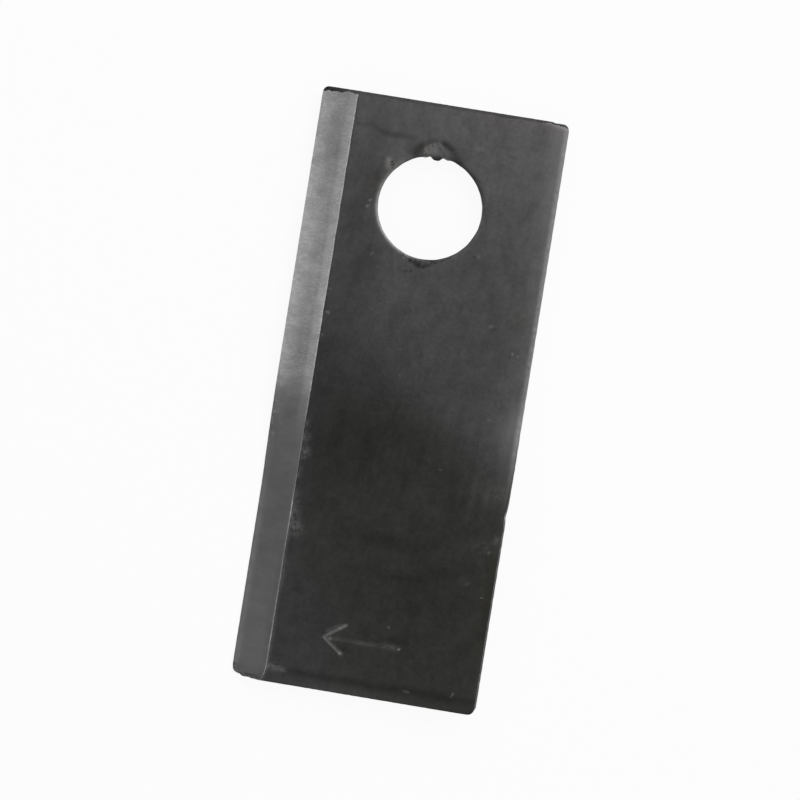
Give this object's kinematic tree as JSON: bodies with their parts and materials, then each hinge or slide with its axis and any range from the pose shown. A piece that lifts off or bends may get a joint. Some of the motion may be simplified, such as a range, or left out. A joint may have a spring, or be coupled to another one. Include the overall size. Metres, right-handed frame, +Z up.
{
  "type": "rotary mower blade",
  "caption": "Steel mower blade with a ground cutting bevel along one long edge, a round pin hole near one end, and an outer half twisted to lift the cut crop.",
  "frame": {"origin": "middle of the blade's bounding box, on the floor that it lies on", "axes": "+Y along the blade towards the holed end, +X across it from the cutting edge to the back edge, +Z up out of the stamped upper face"},
  "size_m": [0.0502, 0.1198, 0.0072],
  "materials": {
    "hardened_steel": "dark heat-treated and oiled faces, with a bright satin ground bevel"
  },
  "bodies": {
    "root": {"mower_blade": "hardened_steel"}
  },
  "joints": []
}
